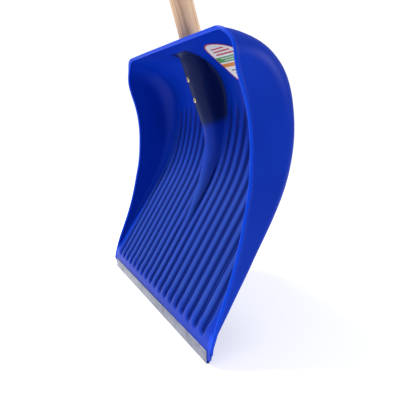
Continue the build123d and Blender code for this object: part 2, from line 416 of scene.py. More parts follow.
@dataclass(frozen=True)
class TurnedWood:
    """Pale birch or pine with long grain, darker growth lines and open pores."""

    lean: float
    light: tuple = colour(255, 222, 186)
    mid: tuple = colour(242, 202, 164)
    dark: tuple = colour(178, 132, 98)

    def material(self) -> bpy.types.Material:
        """The finished material."""
        s = Shader("turned_wood", {"IOR": 1.45})
        turn = (-self.lean, 0.0, 0.0)
        along = s.coordinates(turn=turn)
        warp = s.noise(s.coordinates(turn=turn, stretch=(22.0, 22.0, 1.6)), 1.0, 3.0)
        x, y, z = s.axes(along)
        rings = s.node("ShaderNodeMath", {"operation": "SINE"}, {0: x * 1150.0 + warp * 16.0})
        pores = s.noise(s.coordinates(turn=turn, stretch=(1500.0, 1500.0, 34.0)), 1.0, 3.0, 0.7)
        fibre = s.noise(s.coordinates(turn=turn, stretch=(420.0, 420.0, 7.0)), 1.0, 4.0, 0.6)
        tone = s.blend(warp.ramp(0.3, 0.7), self.light, self.mid)
        lines = (rings * 0.5 + 0.5) ** 3.0
        tone = s.blend(lines * 0.45 + fibre * 0.25, tone, self.dark)
        s.feed("Base Color", s.blend(pores.ramp(0.6, 0.75) * 0.5, tone, self.dark))
        s.feed("Roughness", fibre * 0.2 + pores * 0.12 + 0.42)
        s.bump(fibre * 0.5 - pores.ramp(0.58, 0.75) * 0.7 - lines * 0.3, 0.00012, 0.7)
        return s.material


@dataclass(frozen=True)
class PassivatedScrew:
    """Yellow zinc-passivated steel, slightly mottled."""

    gold: tuple = colour(206, 182, 120)
    grey: tuple = colour(168, 166, 160)

    def material(self) -> bpy.types.Material:
        """The finished material."""
        s = Shader("passivated_screw", {"IOR": 2.0})
        mottle = s.noise(s.coordinates(), 700.0, 3.0)
        s.feed("Base Color", s.blend(mottle.ramp(0.35, 0.65), self.gold, self.grey))
        s.feed("Metallic", 0.95 - mottle * 0.1)
        s.feed("Roughness", mottle * 0.2 + 0.22)
        s.bump(mottle, 0.00003, 0.6)
        return s.material


@dataclass(frozen=True)
class PrintedPaper:
    """A glossy round sticker with plain colour bars and a thin red edge."""

    white: tuple = colour(236, 236, 232)
    cream: tuple = colour(205, 205, 200)
    grey: tuple = colour(120, 120, 124)
    red: tuple = colour(196, 60, 62)
    green: tuple = colour(84, 158, 92)
    orange: tuple = colour(224, 138, 62)

    def stripe(self, face: Socket, places: tuple[Socket, Socket], bars: tuple, height: float,
               ink: tuple) -> Socket:
        """The face with bars of one ink on it.

        Args:
            face: the colour so far.
            places: the label's own u and v, in radii.
            bars: each bar's middle along v and its reach to both sides along u.
            height: the bars' height.
            ink: their colour.

        Returns:
            The new colour.
        """
        u, v = places
        for middle, reach in bars:
            inside = (v - middle).absolute().below(height / 2.0) * u.absolute().below(reach)
            face = face.shader.blend(inside, face, ink)
        return face

    def material(self) -> bpy.types.Material:
        """The finished material, drawn on the label's own flat coordinates."""
        s = Shader("printed_paper", {"IOR": 1.45, "Coat Weight": 0.3, "Coat Roughness": 0.1})
        u, v, _ = s.axes(s.coordinates("UV"))
        speck = s.noise(s.coordinates(), 900.0, 2.0)
        reach = (u * u + v * v) ** 0.5
        face = s.blend(speck * 0.12, self.white, self.cream)
        for bars, height, ink in (
            (((0.66, 0.42), (0.50, 0.56), (0.34, 0.62)), 0.07, self.red),
            (((0.08, 2.0),), 0.26, self.green),
            (((0.13, 0.62), (0.03, 0.5)), 0.035, self.white),
            (((-0.2, 2.0),), 0.16, self.orange),
            (((-0.44, 0.6), (-0.58, 0.45)), 0.05, self.grey),
        ):
            face = self.stripe(face, (u, v), bars, height, ink)
        s.feed("Base Color", s.blend(reach.above(0.955), face, self.red))
        s.feed("Roughness", speck * 0.1 + 0.3)
        s.bump(speck, 0.00002, 0.4)
        return s.material


class Slot(Enum):
    """The record's material slots."""

    BLUE = "blue_plastic"
    METAL = "strip_metal"
    WOOD = "pole_wood"
    SCREW = "screw_steel"
    PAPER = "label_paper"


def finish_piece(piece: bpy.types.Object, slot: Slot, material: bpy.types.Material, *nodes: str) -> None:
    """Dress a piece and tie it to the frame.

    Args:
        piece: the object.
        slot: the record's slot that its finish comes from; not used.
        material: its only material.
        nodes: the CAD nodes that it stands for.
    """
    piece.data.materials.clear()
    piece.data.materials.append(material)
    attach(piece, "root")
    if nodes:
        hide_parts(*nodes)
    log.info("%s: %d faces", piece.name, len(piece.data.polygons))


# ---------------------------------------------------------------- the scoop
@dataclass
class PoleLine:
    """The pole's centre line in the middle plane, leaning forward as it rises."""

    lean: float = math.radians(16.75)
    passes: tuple[float, float] = (58.25, 480.0)
    foot: float = 301.0

    def point(self, distance: float | np.ndarray) -> np.ndarray:
        """The (y, z) point at a distance up the line: the foot plus distance times the lean."""
        z = self.foot + np.asarray(distance, float) * math.cos(self.lean)
        return np.stack([self.passes[0] + (self.passes[1] - z) * math.tan(self.lean), z], axis=-1)

    def place(self, points: np.ndarray, distance: float = 0.0) -> np.ndarray:
        """Points of a shape about Z carried to the line: turned by the lean and moved up it."""
        c, s = math.cos(self.lean), math.sin(self.lean)
        y, z = self.point(distance)
        turned_y = points[:, 1] * c - points[:, 2] * s + y
        turned_z = points[:, 1] * s + points[:, 2] * c + z
        return np.stack([points[:, 0], turned_y, turned_z], axis=-1)


@dataclass
class Scoop:
    """The moulded scoop: a ribbed back that curls forward at the top, two sides and a socket.

    Every cross-section lies in a plane that fans out from the line (y, z) = fan. In it a
    side runs straight back from the rim, turns a round corner and crosses the back.
    """

    pole: PoleLine
    width: float = 450.0
    draft: float = 0.0326
    wall: float = 3.3
    fan: tuple[float, float] = (-60.0, 200.0)
    lip_foot: float = 1.1
    bead_depth: float = 4.6
    bead_swell: float = 0.85
    bead_start: float = 24.0
    bead_run: float = 10.0
    bead_fade: float = 1.8
    pitch: float = 22.5
    groove_half: float = 6.6
    groove_depth: float = 4.2
    groove_foot: float = 28.0
    groove_rise: float = 8.0
    groove_round: float = 2.0
    groove_ease: float = 0.02
    groove_head: float = 350.0
    side_head: float = 235.0
    fade: float = 70.0
    inner_grooves: int = 16
    strip_half: float = 207.0
    corner_round: float = 16.0
    corner_foot: float = 6.0
    rim_back: float = 6.0
    rim_up: float = 0.35
    rim_across: tuple[float, float] = (70.0, 110.0)
    rim_height: tuple[float, float] = (345.0, 62.0)
    rim_depth: float = 75.0
    straight_half: float = 157.5
    lip_half: float = 216.0
    middle_half: float = 33.75
    socket_top: float = 118.0
    socket_low: float = 18.7
    socket_flare: float = 0.0615
    socket_floor: float = 3.3
    bore: float = 18.05
    face_line: list[tuple[float, float, float]] = field(default_factory=lambda: [
        (-1.65, -16.0, 5.0), (-1.65, 4.0, 5.0), (-1.5, 19.0, 5.0), (1.4, 33.0, 5.0),
        (10.0, 50.0, 5.0), (22.2, 70.0, 5.5), (34.4, 90.0, 6.3), (46.6, 110.0, 7.0),
        (58.7, 130.0, 8.0), (70.8, 150.0, 9.0), (82.8, 170.0, 10.0), (94.4, 190.0, 12.0),
        (104.8, 210.0, 14.5), (113.2, 230.0, 17.0), (119.2, 250.0, 19.5),
        (123.5, 270.0, 22.0), (126.3, 290.0, 25.5), (127.2, 312.0, 30.0),
        (126.2, 330.0, 33.5), (123.6, 345.0, 35.5), (119.3, 358.6, 37.0),
        (113.0, 370.0, 37.0), (104.4, 380.2, 36.5), (94.0, 388.8, 35.5),
        (82.2, 396.0, 36.0), (68.0, 401.8, 37.5), (51.5, 405.8, 39.5), (36.0, 408.1, 41.5),
        (19.5, 409.6, 43.5), (2.0, 410.8, 44.0),
    ])
    rim_line: list[tuple[float, float]] = field(default_factory=lambda: [
        (-4.0, -10.0), (-4.0, 12.0), (-2.4, 24.0), (0.9, 38.0), (4.2, 50.0), (10.4, 68.0),
        (19.4, 92.0), (26.4, 112.0), (32.0, 130.0), (40.1, 162.0), (45.9, 190.0),
        (50.2, 212.0), (52.7, 235.0), (53.6, 258.0), (53.3, 280.0), (51.3, 300.0),
        (47.5, 320.0), (41.6, 340.0), (35.2, 357.0), (30.0, 372.0), (27.4, 385.0),
        (25.0, 397.0), (20.4, 410.0), (16.0, 424.0),
    ])
    tail_line: list[tuple[float, float, float]] = field(default_factory=lambda: [
        (59.2, 109.3, 10.2), (66.8, 125.1, 10.5), (77.8, 145.6, 11.0), (88.6, 166.4, 12.4),
        (98.2, 187.6, 13.8), (105.8, 208.6, 15.5), (112.0, 229.0, 17.0), (117.0, 249.0, 18.0),
        (118.1, 269.0, 18.8),
    ])
    rows: int = 168
    top_rows: tuple = (7.0, 5.2, 4.2, 3.2, 2.2, 1.3, 0.6, 0.15, 0.0)
    crowding: tuple = ((31.0, 2.6, 9.0), (112.0, 1.2, 14.0), (311.0, 5.0, 3.5))
    rim_columns: tuple = (0.0, 0.15, 0.6, 1.3, 2.2, 3.2, 4.2, 5.4, 7.0)
    rim_run: float = 24.0
    side_columns: int = 18
    corner_columns: int = 13
    outer_columns: int = 25
    pitch_columns: int = 10
    bump_columns: tuple[int, int, int] = (15, 9, 16)
    bump_fade: float = 3.5
    groove_stop: float = 3.0
    fillet: float = 10.0
    fillet_turns: tuple[int, int] = (46, 14)
    side_share: float = 0.47
    collar_foot: float = 40.0
    collar_round: float = 1.6

    def __post_init__(self) -> None:
        """Prepare the curves and what the fan's rays meet."""
        self.face = Curve(self.face_line)
        rim = Curve(self.rim_line)
        s = np.linspace(0.0, rim.length, 500)
        self.rim_angle, self.rim_reach = self.polar(rim.point(s))
        run = rim.slope(s)
        self.rim_heading = np.arctan2(run[:, 1], run[:, 0])
        self._prepare_crest()
        s = np.linspace(0.0, self.face.length, 2000)
        self.face_s, self.face_z = s, self.face.point(s)[:, 1]

    def polar(self, yz: np.ndarray) -> tuple[np.ndarray, np.ndarray]:
        """Angle and distance of (y, z) points as seen from the fan's line."""
        y, z = yz[..., 0] - self.fan[0], yz[..., 1] - self.fan[1]
        return np.arctan2(z, y), np.hypot(y, z)

    def _prepare_crest(self) -> None:
        """The front line of the tail and socket, its radius, and how squarely rays meet it.

        A crest point is its centre minus its radius along the outward normal; the socket's
        radius grows by its flare with the distance up the pole.
        """
        tail = Curve(self.tail_line)
        s = np.linspace(0.0, tail.length, 60)
        centre = tail.point(s)
        up = np.linspace(-self.socket_floor, self.socket_top, 40)
        radius = self.socket_low + self.socket_flare * (up + self.socket_floor)
        back = np.array([math.cos(self.pole.lean), math.sin(self.pole.lean)])
        front = np.concatenate([
            centre[:, :2] - centre[:, 2:3] * tail.outward(s),
            self.pole.point(up) - radius[:, None] * back,
        ])
        self.crest_angle, self.crest_reach = self.polar(front)
        self.crest_radius = np.concatenate([centre[:, 2], radius])
        run = np.gradient(front, axis=0)
        heading = np.arctan2(run[:, 1], run[:, 0])
        self.crest_square = np.clip(np.abs(np.sin(heading - self.crest_angle)), 0.5, 1.0)
        self.floor_angle = float(self.polar(self.pole.point(-self.socket_floor))[0])

    def length_at(self, z: float | np.ndarray) -> np.ndarray:
        """Chord length of the face line where it reaches a height."""
        return np.interp(z, self.face_z, self.face_s)

    def end_length(self, inset: float) -> float:
        """Chord length where a sheet's face line meets the rim at the top."""
        s = np.linspace(0.8, 1.0, 600) * self.face.length
        angle, reach = self.polar(self._line(s, inset))
        ahead = reach - np.interp(angle, self.rim_angle, self.rim_reach)
        return float(np.interp(0.0, -ahead, s))

    def _line(self, s: np.ndarray, inset: float) -> np.ndarray:
        """The middle (y, z) line of a sheet: the face moved back to its inset from outside."""
        return self.face.point(s)[..., :2] + (self.wall - inset) * self.face.outward(s)

    def row_lengths(self) -> np.ndarray:
        """Places of the rows as shares of the height, close together where shapes turn.

        The gaps between rows are the inverse of a density: 1, more over the curl, and a hump
        of each (height, gain, width) in crowding. The last rows crowd into the rounded rim.
        """
        total = self.end_length(self.wall / 2.0)
        s = np.linspace(0.0, total - self.top_rows[0] - 2.0, 3000)
        density = 1.0 + 0.9 * smoothstep((s - 0.62 * total) / 80.0)
        for height, gain, width in self.crowding:
            density += gain * np.exp(-(((s - self.length_at(height)) / width) ** 2))
        grown = np.concatenate(([0.0], np.cumsum(density[1:])))
        start = self.length_at(self.lip_foot)
        count = self.rows - len(self.top_rows)
        places = np.interp(np.linspace(0.0, grown[-1], count), grown, s)
        places = places[places > start + 1.0]
        rows = np.concatenate([[start], places, total - np.array(self.top_rows)])
        return (rows - start) / (total - start)

    def groove(self, x: np.ndarray, z: np.ndarray) -> np.ndarray:
        """How far the back is pressed out at (x, z).

        Across, a = 1 - |c / half|^3 about the nearest groove's middle, rounded into the lands
        by the smooth maximum (a + sqrt(a^2 + ease)) / 2. Up, a quick rise at a rounded foot
        and a long fade.
        """
        place = np.abs(x) / self.pitch
        share = (place - np.floor(place) - 0.5) * self.pitch / self.groove_half
        arch = 1.0 - np.abs(share) ** 3
        across = 0.5 * (arch + np.sqrt(arch * arch + self.groove_ease)) - self.groove_ease / 10.0
        foot = self.groove_foot + self.groove_round * np.clip(share, -1.0, 1.0) ** 2
        outer = np.abs(x) > self.inner_grooves / 2 * self.pitch
        head = np.where(outer, self.side_head, self.groove_head)
        shape = smoothstep((z - foot) / self.groove_rise) * smoothstep((head - z) / self.fade)
        last = (self.inner_grooves / 2 + 1) * self.pitch
        return self.groove_depth * across * shape * (np.abs(x) < last)

    def inner_columns(self) -> np.ndarray:
        """Places across the back from straight_half in to the middle strip."""
        steps = round((self.straight_half - self.middle_half) / self.pitch * self.pitch_columns)
        return np.linspace(self.middle_half, self.straight_half, steps + 1)[:0:-1]

    def outer_shares(self) -> np.ndarray:
        """Shares of the way from straight_half to the corner, for the outer columns."""
        return np.linspace(1.0, 0.0, self.outer_columns + 2)[1:-1]

    def side_x(self, angle: np.ndarray, reach: np.ndarray, inset: float) -> np.ndarray:
        """Half width of a sheet at a reach from the fan's line: less by the draft as it rises."""
        return self.width / 2 - self.draft * (self.fan[1] + np.sin(angle) * reach) - inset

    def corner_x(self, angle: np.ndarray, centre: np.ndarray, corner: np.ndarray,
                 inset: float) -> np.ndarray:
        """How far across a corner's centre is, so that its arc touches the slanting side."""
        root = np.sqrt(1.0 + (self.draft * np.sin(angle)) ** 2)
        return self.side_x(angle, centre, inset) - corner * root

    def _lengths(self, inset: float, bent: int) -> np.ndarray:
        """Chord lengths of half a sheet's rows and columns.

        The lowest row is lip_foot high, but past strip_half it climbs a quarter circle of
        corner_round. That lift fades with the cube of the share of height that is left.

        Args:
            inset: how deep the sheet lies under the outer face.
            bent: how many columns there are on the side and its corner.

        Returns:
            The lengths, rows x columns.
        """
        shares = self.row_lengths()[:, None]
        back = self.straight_half + (self.lip_half - self.straight_half) * self.outer_shares()
        side = np.full(bent, self.width / 2 - inset - 1.0)
        x = np.concatenate([side, back, self.inner_columns()])
        over = np.clip(x - (self.width / 2 - self.corner_round), 0.0, self.corner_round)
        rounded = self.corner_foot + self.corner_round - np.sqrt(self.corner_round**2 - over**2)
        foot = self.length_at(np.where(x > self.strip_half, rounded, self.lip_foot))
        base = self.length_at(self.lip_foot)
        return base + (self.end_length(inset) - base) * shares + (foot - base) * (1.0 - shares) ** 3

    def _bent_columns(self, angle: np.ndarray, depth: np.ndarray, corner: np.ndarray,
                      rim: np.ndarray, inset: float) -> tuple[np.ndarray, np.ndarray]:
        """The side and its round corner in each fan plane.

        A path from the rim runs straight back along the side and then round the corner's arc.
        Where the rim cuts into the arc, the path starts part of the way round it.

        Args:
            angle: the fan angles.
            depth: where the rays meet the back.
            corner: the corner's radii.
            rim: where the rays meet the rim line.
            inset: how deep the sheet lies under the outer face.

        Returns:
            The reach from the fan's line, and x.
        """
        slant = self.draft * np.sin(angle)
        root = np.sqrt(1.0 + slant**2)
        centre, lean = depth - corner, np.arctan(slant)
        straight = np.maximum(centre + corner * np.sin(lean) - rim, 0.0) * root
        first = np.maximum(lean, np.arcsin(np.clip((rim - centre) / corner, -1.0, 1.0)))
        whole = straight + corner * (np.pi / 2 - first)
        full = whole[:, :1]
        near = np.array(self.rim_columns)[None, :] * np.minimum(1.0, full / self.rim_run)
        last = near[:, -1:]
        knee = np.maximum(straight[:, :1], last + 0.4 * (full - last))
        side = last + (knee - last) * np.linspace(0, 1, self.side_columns + 1)[None, 1:]
        arc = knee + (full - knee) * np.linspace(0, 1, self.corner_columns + 1)[None, 1:]
        path = np.minimum(np.concatenate([near, side, arc], axis=1), whole)
        on_side = path < straight
        turn = np.minimum(first + np.maximum(path - straight, 0.0) / corner, np.pi / 2)
        reach = np.where(on_side, rim + path / root, centre + corner * np.sin(turn))
        across = self.corner_x(angle, centre, corner, inset) + corner * np.cos(turn)
        return reach, np.where(on_side, self.side_x(angle, reach, inset), across)

    def half_sheet(self, inset: float, side: int) -> tuple[np.ndarray, np.ndarray, np.ndarray]:
        """One side of a sheet from the rim to the middle strip.

        In each fan plane the path runs from the rim back along the side, x = half width at
        that height, then round an arc tangent to side and back, then along the back.

        Args:
            inset: how deep the sheet lies under the outer face.
            side: 1 for +X and -1 for -X.

        Returns:
            The points, rows x columns x 3, and their marks: each one's distance from the rim
            line and how far a groove presses it out.
        """
        bent = len(self.rim_columns) + self.side_columns + self.corner_columns
        s = self._lengths(inset, bent)
        angle, depth = self.polar(self._line(s, inset))
        corner = np.maximum(self.face.point(s)[..., 2] - inset, 1.2)
        rim = np.minimum(np.interp(angle, self.rim_angle, self.rim_reach), depth)
        bent_reach, bent_x = self._bent_columns(
            angle[:, :bent], depth[:, :bent], corner[:, :bent], rim[:, :bent], inset
        )
        outer = slice(bent, bent + self.outer_columns)
        edge = self.corner_x(angle[:, outer], (depth - corner)[:, outer], corner[:, outer], inset)
        outer_x = self.straight_half + (edge - self.straight_half) * self.outer_shares()
        inner_x = self.inner_columns() + 0.0 * s[:, :1]
        x = np.concatenate([bent_x, outer_x, inner_x], axis=1)
        reach = np.concatenate([bent_reach, depth[:, bent:]], axis=1)

        y = self.fan[0] + reach * np.cos(angle)
        z = self.fan[1] + reach * np.sin(angle)
        out = self.face.outward(s)
        pressed = self.groove(x, z)
        heading = np.interp(angle, self.rim_angle, self.rim_heading)
        gap = np.abs((reach - rim) * np.sin(heading - angle))
        back = self._drawn_back(x, z, gap)
        points = np.stack([
            side * x, y + out[..., 0] * pressed + back, z + out[..., 1] * pressed + back * self.rim_up,
        ], axis=-1)
        return points, np.stack([gap, pressed], axis=-1)

    def _drawn_back(self, x: np.ndarray, z: np.ndarray, gap: np.ndarray) -> np.ndarray:
        """How far the rim's top corners are drawn back: rising outwards, upwards and to the rim."""
        across = smoothstep((x - self.rim_across[0]) / self.rim_across[1])
        up = smoothstep((z - self.rim_height[0]) / self.rim_height[1])
        return self.rim_back * across * up * smoothstep(1.0 - gap / self.rim_depth)

    def middle_strip(self, inset: float) -> tuple[np.ndarray, np.ndarray]:
        """The middle of a sheet, with the tail and socket standing out of its front.

        Half a cross-section is a crest quarter of an ellipse, a flank straight back, and
        the ribbed back. Where the crest is low the ellipse is cut by the back. Its foot is
        then eased into a fillet by averaging neighbours, more the nearer they are to it.

        Args:
            inset: how deep the sheet lies under the outer face.

        Returns:
            The points and their marks, as half_sheet gives them.
        """
        base = self.length_at(self.lip_foot)
        s = base + (self.end_length(inset) - base) * self.row_lengths()[:, None]
        angle, depth = self.polar(self._line(s, inset))
        rim = np.minimum(np.interp(angle, self.rim_angle, self.rim_reach), depth)
        heading = np.interp(angle, self.rim_angle, self.rim_heading)
        sheet = self.wall - inset
        radius = np.interp(angle, self.crest_angle, self.crest_radius) - sheet
        crest = np.interp(angle, self.crest_angle, self.crest_reach, left=1e4, right=1e4)
        rise = np.maximum(depth - crest - sheet, 0.0)
        if inset < self.wall / 2.0:
            rise = np.where(angle > self.floor_angle, 0.0, rise)
        axis = radius / np.interp(angle, self.crest_angle, self.crest_square)
        limit = np.arccos(np.clip(1.0 - rise / axis, 0.0, 1.0))

        crest_count, flank_count, base_count = self.bump_columns
        quarter = limit * np.linspace(0.0, 1.0, crest_count)[None, :]
        flank = np.linspace(0.0, 1.0, flank_count + 1)[None, 1:]
        run = np.linspace(0.0, 1.0, base_count + 1)[None, 1:]
        crest_x, crest_t = radius * np.sin(quarter), rise - axis * (1.0 - np.cos(quarter))
        foot_x = crest_x[:, -1:]
        base_x = foot_x + (self.middle_half - foot_x) * run
        half_x = np.concatenate([crest_x, foot_x + 0.0 * flank, base_x], axis=1)
        half_t = np.concatenate([crest_t, crest_t[:, -1:] * (1.0 - flank), 0.0 * base_x], axis=1)
        plain_x = np.linspace(0.0, 1.0, half_x.shape[1])[None, :] * self.middle_half
        share = smoothstep(rise / self.bump_fade)
        half_x = share * half_x + (1.0 - share) * plain_x
        half_t = share * half_t
        x = np.concatenate([-half_x[:, :0:-1], half_x], axis=1)
        t = np.concatenate([half_t[:, :0:-1], half_t], axis=1)
        y = self.fan[0] + (depth - t) * np.cos(angle)
        z = self.fan[1] + (depth - t) * np.sin(angle)
        out = self.face.outward(s)
        pressed = self.groove(np.abs(x), z) * (1.0 - smoothstep(t / self.groove_stop))
        points = np.stack([x, y + out[..., 0] * pressed, z + out[..., 1] * pressed], axis=-1)
        near = np.abs(np.abs(x) - foot_x) + np.abs(t)
        soft = share * smoothstep((2.2 * self.fillet - near) / (1.6 * self.fillet))
        turns = self.fillet_turns[0 if inset > 1.0 else 1]
        gap = np.abs((depth - rim) * np.sin(heading - angle)) + 0.0 * x
        return self._eased(points, 0.5 * soft, turns), np.stack([gap, pressed], axis=-1)

    @staticmethod
    def _eased(points: np.ndarray, share: np.ndarray, times: int) -> np.ndarray:
        """Points moved towards the mean of their four neighbours by a share, several times."""
        for _ in range(times):
            mean = points.copy()
            mean[1:-1, 1:-1] = 0.25 * (
                points[2:, 1:-1] + points[:-2, 1:-1] + points[1:-1, 2:] + points[1:-1, :-2]
            )
            points = points + share[..., None] * (mean - points)
        return points

    def sheet(self, inset: float) -> tuple[np.ndarray, np.ndarray]:
        """A whole sheet from the left rim over the back to the right rim, and its marks."""
        left, left_marks = self.half_sheet(inset, -1)
        right, right_marks = self.half_sheet(inset, 1)
        middle, middle_marks = self.middle_strip(inset)
        points = np.concatenate([left, middle, right[:, ::-1]], axis=1)
        marks = np.concatenate([left_marks, middle_marks, right_marks[:, ::-1]], axis=1)
        return points, marks

    def half_thickness(self, gap: np.ndarray, z: np.ndarray) -> np.ndarray:
        """Half the wall near the rim: a round nose, then the bead, then the plain wall.

        With nose radius r it is sqrt(r^2 - (r - gap)^2) up to r, then r, and it eases down
        to half the wall past the bead's depth.
        """
        bead = self.bead_swell * smoothstep((z - self.bead_start) / self.bead_run)
        radius = self.wall / 2.0 + bead
        nose = np.sqrt(np.maximum(radius**2 - np.maximum(radius - gap, 0.0) ** 2, 0.0))
        past = smoothstep((gap - self.bead_depth) / self.bead_fade + 0.5)
        return nose - bead * past

    def shell(self) -> tuple[np.ndarray, np.ndarray, np.ndarray]:
        """The closed wall: inner and outer sheets that meet along the rim and the lip.

        The back near the lip is close to the rim line too, but it has no rim, so the distance
        in its marks is made wide.

        Returns:
            The vertices, the quads, and each vertex's marks.
        """
        sheets, marks = [], []
        for inset, facing in ((self.wall, -1.0), (0.0, 1.0)):
            points, mark = self.sheet(inset)
            gap = mark[..., 0].copy()
            inside = np.abs(points[..., 0]) < self.side_share * self.width
            plain = inside & (points[..., 2] < self.side_head)
            mark[plain, 0] = self.width
            across = np.gradient(points, axis=1)
            up = np.gradient(points, axis=0)
            normal = np.cross(up, across)
            normal /= np.maximum(np.linalg.norm(normal, axis=-1, keepdims=True), 1e-9)
            grow = self.half_thickness(gap, points[..., 2]) - self.wall / 2.0
            sheets.append(points + facing * normal * grow[..., None])
            marks.append(mark.reshape(-1, 2))
        front, back = sheets
        rows, columns = front.shape[:2]
        edge = np.zeros((rows, columns), bool)
        edge[:, 0] = edge[:, -1] = edge[-1, :] = True
        middle = 0.5 * (front + back)
        front[edge] = middle[edge]
        ahead = np.arange(rows * columns).reshape(rows, columns)
        behind = np.where(edge, ahead, ahead + rows * columns)
        lip = np.stack([behind[0], ahead[0]])
        faces = [grid_faces(ahead), grid_faces(behind[:, ::-1]), grid_faces(lip)]
        points = np.concatenate([front.reshape(-1, 3), back.reshape(-1, 3)])
        return points, np.concatenate(faces), np.concatenate(marks)

    def collar(self) -> tuple[np.ndarray, np.ndarray]:
        """The socket's round mouth: a flaring ring about the pole with a rounded top edge."""
        low, top, edge = self.collar_foot, self.socket_top, self.collar_round
        outer_low = self.socket_low + self.socket_flare * (low + self.socket_floor) - 0.4
        outer_top = self.socket_low + self.socket_flare * (top + self.socket_floor)
        turn = np.linspace(0.0, np.pi / 2, 6)
        rounded = [outer_top - edge + edge * np.cos(turn), top - edge + edge * np.sin(turn)]
        inward = [self.bore + 1.0 - np.sin(turn), top - 1.0 + np.cos(turn)]
        straight = np.array([[outer_low, low], [0.5 * (outer_low + outer_top), 0.5 * (low + top)]])
        profile = np.concatenate([
            straight, np.stack(rounded, -1), np.stack(inward, -1), [[self.bore, low]], straight[:1],
        ])
        points, faces = turned(profile, ROUND)
        return self.pole.place(points), faces

    def build(self) -> bpy.types.Object:
        """The scoop as one piece: the wall and the socket's mouth."""
        points, faces, marks = self.shell()
        ring, ring_faces = self.collar()
        flat = np.concatenate([marks, np.full((len(ring), 2), (self.width, 0.0))]) * MM
        faces = np.concatenate([faces, ring_faces + len(points)])
        return make_piece("scoop", np.concatenate([points, ring]), faces, flat)

    def dress(self, piece: bpy.types.Object) -> None:
        """Blue plastic, standing for the CAD blade."""
        finish_piece(piece, Slot.BLUE, MouldedBlue(self.pole).material(), "blade")


# ---------------------------------------------------------------- the other pieces
@dataclass
class WearStrip:
    """The folded metal channel on the lip."""

    sheet: float = 1.0
    bend: float = 1.3
    lip_drop: float = 0.25
    lip_taper: float = 0.12
    end_run: float = 0.2
    end_shrink: float = 0.985

    def build(self) -> bpy.types.Object:
        """A U-shaped profile with round bends, carried along X.

        The outer line goes down, round two quarter circles and up; the inner line comes
        back with the bend's radius less the sheet.
        """
        low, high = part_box("wear_strip")
        half, top, length = (high.y - low.y) / 2 / MM, high.z / MM, high.x / MM
        turn = np.linspace(0.0, np.pi / 2, 6)
        loops = []
        for inset, radius in ((0.0, self.bend), (self.sheet, max(self.bend - self.sheet, 0.3))):
            y = half - inset
            right = np.stack([y - radius + radius * np.sin(turn), inset + radius - radius * np.cos(turn)], -1)
            left = right[::-1] * (-1.0, 1.0)
            lips = np.array([[y - self.lip_taper + 2 * self.lip_taper * (inset > 0), top]])
            shoulder = top - self.lip_drop
            loops.append(np.concatenate([
                lips * (-1.0, 1.0), [[-y, shoulder]], left, right, [[y, shoulder]], lips,
            ]))
        profile = np.concatenate([loops[0], loops[1][::-1]])
        ends = np.array([-length, -length + self.end_run, length - self.end_run, length])
        shrink = np.array([self.end_shrink, 1.0, 1.0, self.end_shrink])
        x = np.repeat(ends, len(profile))
        yz = (profile[None] * shrink[:, None, None] + (1 - shrink)[:, None, None] * [0.0, top / 2])
        points = np.column_stack([x, yz.reshape(-1, 2)])
        index = np.arange(len(points)).reshape(len(ends), len(profile))
        index = np.hstack([index, index[:, :1]])
        faces = [grid_faces(index)]
        count = len(loops[0])
        for row in (0, len(ends) - 1):
            outer = index[row, :count]
            inner = index[row, count:2 * count][::-1]
            faces.append(grid_faces(np.stack([outer, inner])))
        return make_piece("wear_edge", points, np.concatenate(faces))

    def dress(self, piece: bpy.types.Object) -> None:
        """Mill-finish aluminium, standing for the CAD strip."""
        finish_piece(piece, Slot.METAL, MillAluminium().material(), "wear_strip")


@dataclass
class Pole:
    """The wooden pole: a tapered foot in the socket, a long straight grip, a domed top."""

    line: PoleLine
    radius: float = 18.0
    foot_radius: float = 15.0
    taper: float = 78.0
    length: float = 1300.0
    crown: float = 7.0
    edge: float = 1.2

    def build(self) -> bpy.types.Object:
        """A half outline carried round the pole's line: foot, taper, shaft and a domed top."""
        turn = np.linspace(0.0, np.pi / 2, 12)
        foot = np.stack([
            self.foot_radius - self.edge + self.edge * np.sin(turn),
            self.edge - self.edge * np.cos(turn),
        ], -1)
        shaft = np.linspace(self.taper, self.length - self.crown, 40)
        grip = np.stack([np.full_like(shaft, self.radius), shaft], -1)
        dome = np.stack([self.radius * np.cos(turn) ** 0.7, self.length - self.crown
                         + self.crown * np.sin(turn)], -1)
        profile = np.concatenate([[[0.0, 0.0]], foot, grip, dome[1:]])
        points, faces = turned(profile, ROUND)
        return make_piece("wooden_pole", self.line.place(points), faces)

    def dress(self, piece: bpy.types.Object) -> None:
        """Pale wood with its grain along the pole, standing for the CAD pole."""
        finish_piece(piece, Slot.WOOD, TurnedWood(self.line.lean).material(), "pole")


